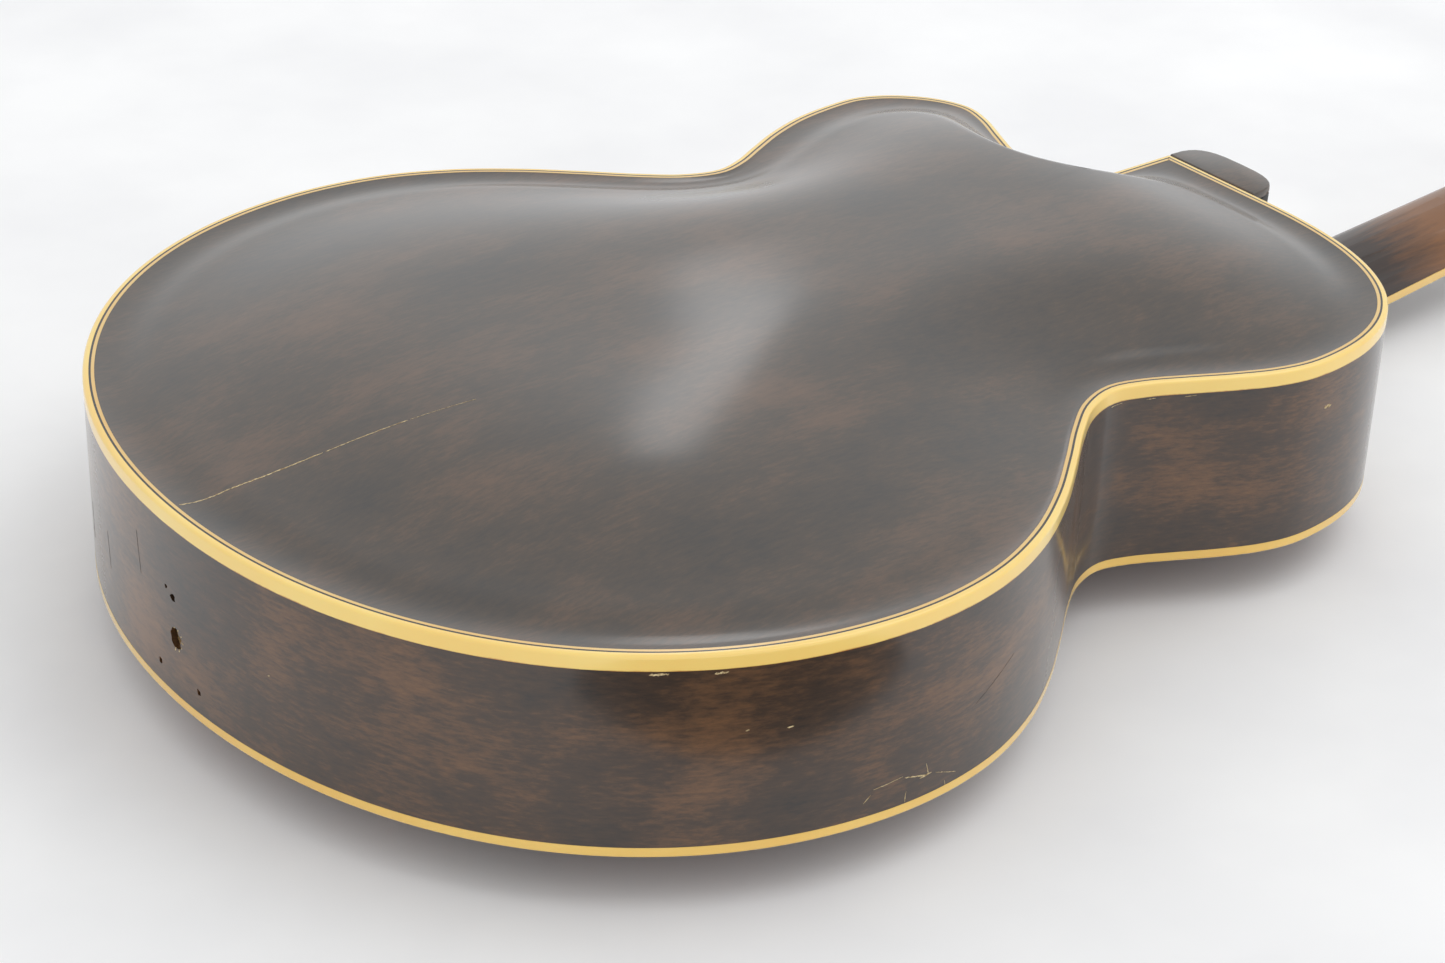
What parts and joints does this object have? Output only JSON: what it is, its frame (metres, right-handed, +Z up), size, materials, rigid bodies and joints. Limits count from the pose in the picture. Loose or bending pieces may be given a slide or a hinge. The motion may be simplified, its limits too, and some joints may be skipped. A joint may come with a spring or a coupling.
{
  "type": "archtop guitar",
  "caption": "Carved archtop guitar with a rounded cutaway, lying face down with its strings, bridge and tailpiece off: hollow bound body, neck, frets and geared tuners.",
  "frame": {"origin": "middle of the floor under the guitar, which lies face down", "axes": "+X from the tail towards the headstock, +Y towards the treble side with the cutaway, +Z up, out of the carved back"},
  "size_m": [1.0728, 0.432, 0.131],
  "materials": {
    "back_wood": "dark walnut stain under aged gloss lacquer",
    "side_wood": "dark walnut stain under aged gloss lacquer",
    "top_wood": "stained spruce under gloss lacquer",
    "neck_wood": "shaded brown gloss lacquer",
    "pale_wood": "bare sanded wood",
    "rosewood": "oiled, unfinished",
    "celluloid": "yellowed celluloid binding",
    "bone": "bone",
    "knob": "aged cream button on a nickel shaft",
    "black_plastic": "gloss black",
    "nickel": "worn nickel",
    "steel": "plain"
  },
  "bodies": {
    "guitar": {"back_binding": "celluloid", "back_plate": "back_wood", "fingerboard": "rosewood", "fingerboard_binding": "celluloid", "fret_01": "nickel", "fret_02": "nickel", "fret_03": "nickel", "fret_04": "nickel", "fret_05": "nickel", "fret_06": "nickel", "fret_07": "nickel", "fret_08": "nickel", "fret_09": "nickel", "fret_10": "nickel", "fret_11": "nickel", "fret_12": "nickel", "fret_13": "nickel", "fret_14": "nickel", "fret_15": "nickel", "fret_16": "nickel", "fret_17": "nickel", "fret_18": "nickel", "fret_19": "nickel", "fret_20": "nickel", "headstock_veneer": "black_plastic", "heel_cap": "back_wood", "lining_back_bass": "pale_wood", "lining_back_treble": "pale_wood", "lining_top_bass": "pale_wood", "lining_top_treble": "pale_wood", "neck": "neck_wood", "neck_block": "pale_wood", "nut": "bone", "side_bass": "side_wood", "side_treble": "side_wood", "tail_block": "pale_wood", "tone_bar_bass": "pale_wood", "tone_bar_treble": "pale_wood", "top_binding": "celluloid", "top_plate": "top_wood", "truss_rod": "steel", "truss_rod_cover": "black_plastic", "truss_rod_nut": "nickel", "tuner_plate_bass": "nickel", "tuner_plate_treble": "nickel"},
    "knob_1": {"tuner_knob_1": "knob"},
    "knob_2": {"tuner_knob_2": "knob"},
    "knob_3": {"tuner_knob_3": "knob"},
    "knob_4": {"tuner_knob_4": "knob"},
    "knob_5": {"tuner_knob_5": "knob"},
    "knob_6": {"tuner_knob_6": "knob"},
    "post_1": {"tuner_post_1": "nickel"},
    "post_2": {"tuner_post_2": "nickel"},
    "post_3": {"tuner_post_3": "nickel"},
    "post_4": {"tuner_post_4": "nickel"},
    "post_5": {"tuner_post_5": "nickel"},
    "post_6": {"tuner_post_6": "nickel"}
  },
  "joints": [
    {"name": "knob_1_turn", "type": "hinge", "parent": "guitar", "child": "knob_1", "pos_m": [0.41373, -0.03116, 0.08912], "axis": [0.061, 0.9979, 0.0228], "continuous": true},
    {"name": "post_1_turn", "type": "hinge", "parent": "guitar", "child": "post_1", "pos_m": [0.40786, -0.01859, 0.08084], "axis": [-0.3502, 0, 0.9367], "continuous": true},
    {"name": "knob_2_turn", "type": "hinge", "parent": "guitar", "child": "knob_2", "pos_m": [0.44924, -0.03364, 0.1024], "axis": [0.061, 0.9979, 0.0228], "continuous": true},
    {"name": "post_2_turn", "type": "hinge", "parent": "guitar", "child": "post_2", "pos_m": [0.44337, -0.02107, 0.09412], "axis": [-0.3502, 0, 0.9367], "continuous": true},
    {"name": "knob_3_turn", "type": "hinge", "parent": "guitar", "child": "knob_3", "pos_m": [0.48476, -0.03611, 0.11568], "axis": [0.061, 0.9979, 0.0228], "continuous": true},
    {"name": "post_3_turn", "type": "hinge", "parent": "guitar", "child": "post_3", "pos_m": [0.47889, -0.02354, 0.1074], "axis": [-0.3502, 0, 0.9367], "continuous": true},
    {"name": "knob_4_turn", "type": "hinge", "parent": "guitar", "child": "knob_4", "pos_m": [0.41373, 0.03116, 0.08912], "axis": [-0.061, 0.9979, -0.0228], "continuous": true},
    {"name": "post_4_turn", "type": "hinge", "parent": "guitar", "child": "post_4", "pos_m": [0.40786, 0.01859, 0.08084], "axis": [-0.3502, 0, 0.9367], "continuous": true},
    {"name": "knob_5_turn", "type": "hinge", "parent": "guitar", "child": "knob_5", "pos_m": [0.44924, 0.03364, 0.1024], "axis": [-0.061, 0.9979, -0.0228], "continuous": true},
    {"name": "post_5_turn", "type": "hinge", "parent": "guitar", "child": "post_5", "pos_m": [0.44337, 0.02107, 0.09412], "axis": [-0.3502, 0, 0.9367], "continuous": true},
    {"name": "knob_6_turn", "type": "hinge", "parent": "guitar", "child": "knob_6", "pos_m": [0.48476, 0.03611, 0.11568], "axis": [-0.061, 0.9979, -0.0228], "continuous": true},
    {"name": "post_6_turn", "type": "hinge", "parent": "guitar", "child": "post_6", "pos_m": [0.47889, 0.02354, 0.1074], "axis": [-0.3502, 0, 0.9367], "continuous": true}
  ],
  "couplings": [
    {"joint": "post_1_turn", "follows": "knob_1_turn", "ratio": 0.071429},
    {"joint": "post_2_turn", "follows": "knob_2_turn", "ratio": 0.071429},
    {"joint": "post_3_turn", "follows": "knob_3_turn", "ratio": 0.071429},
    {"joint": "post_4_turn", "follows": "knob_4_turn", "ratio": -0.071429},
    {"joint": "post_5_turn", "follows": "knob_5_turn", "ratio": -0.071429},
    {"joint": "post_6_turn", "follows": "knob_6_turn", "ratio": -0.071429}
  ]
}
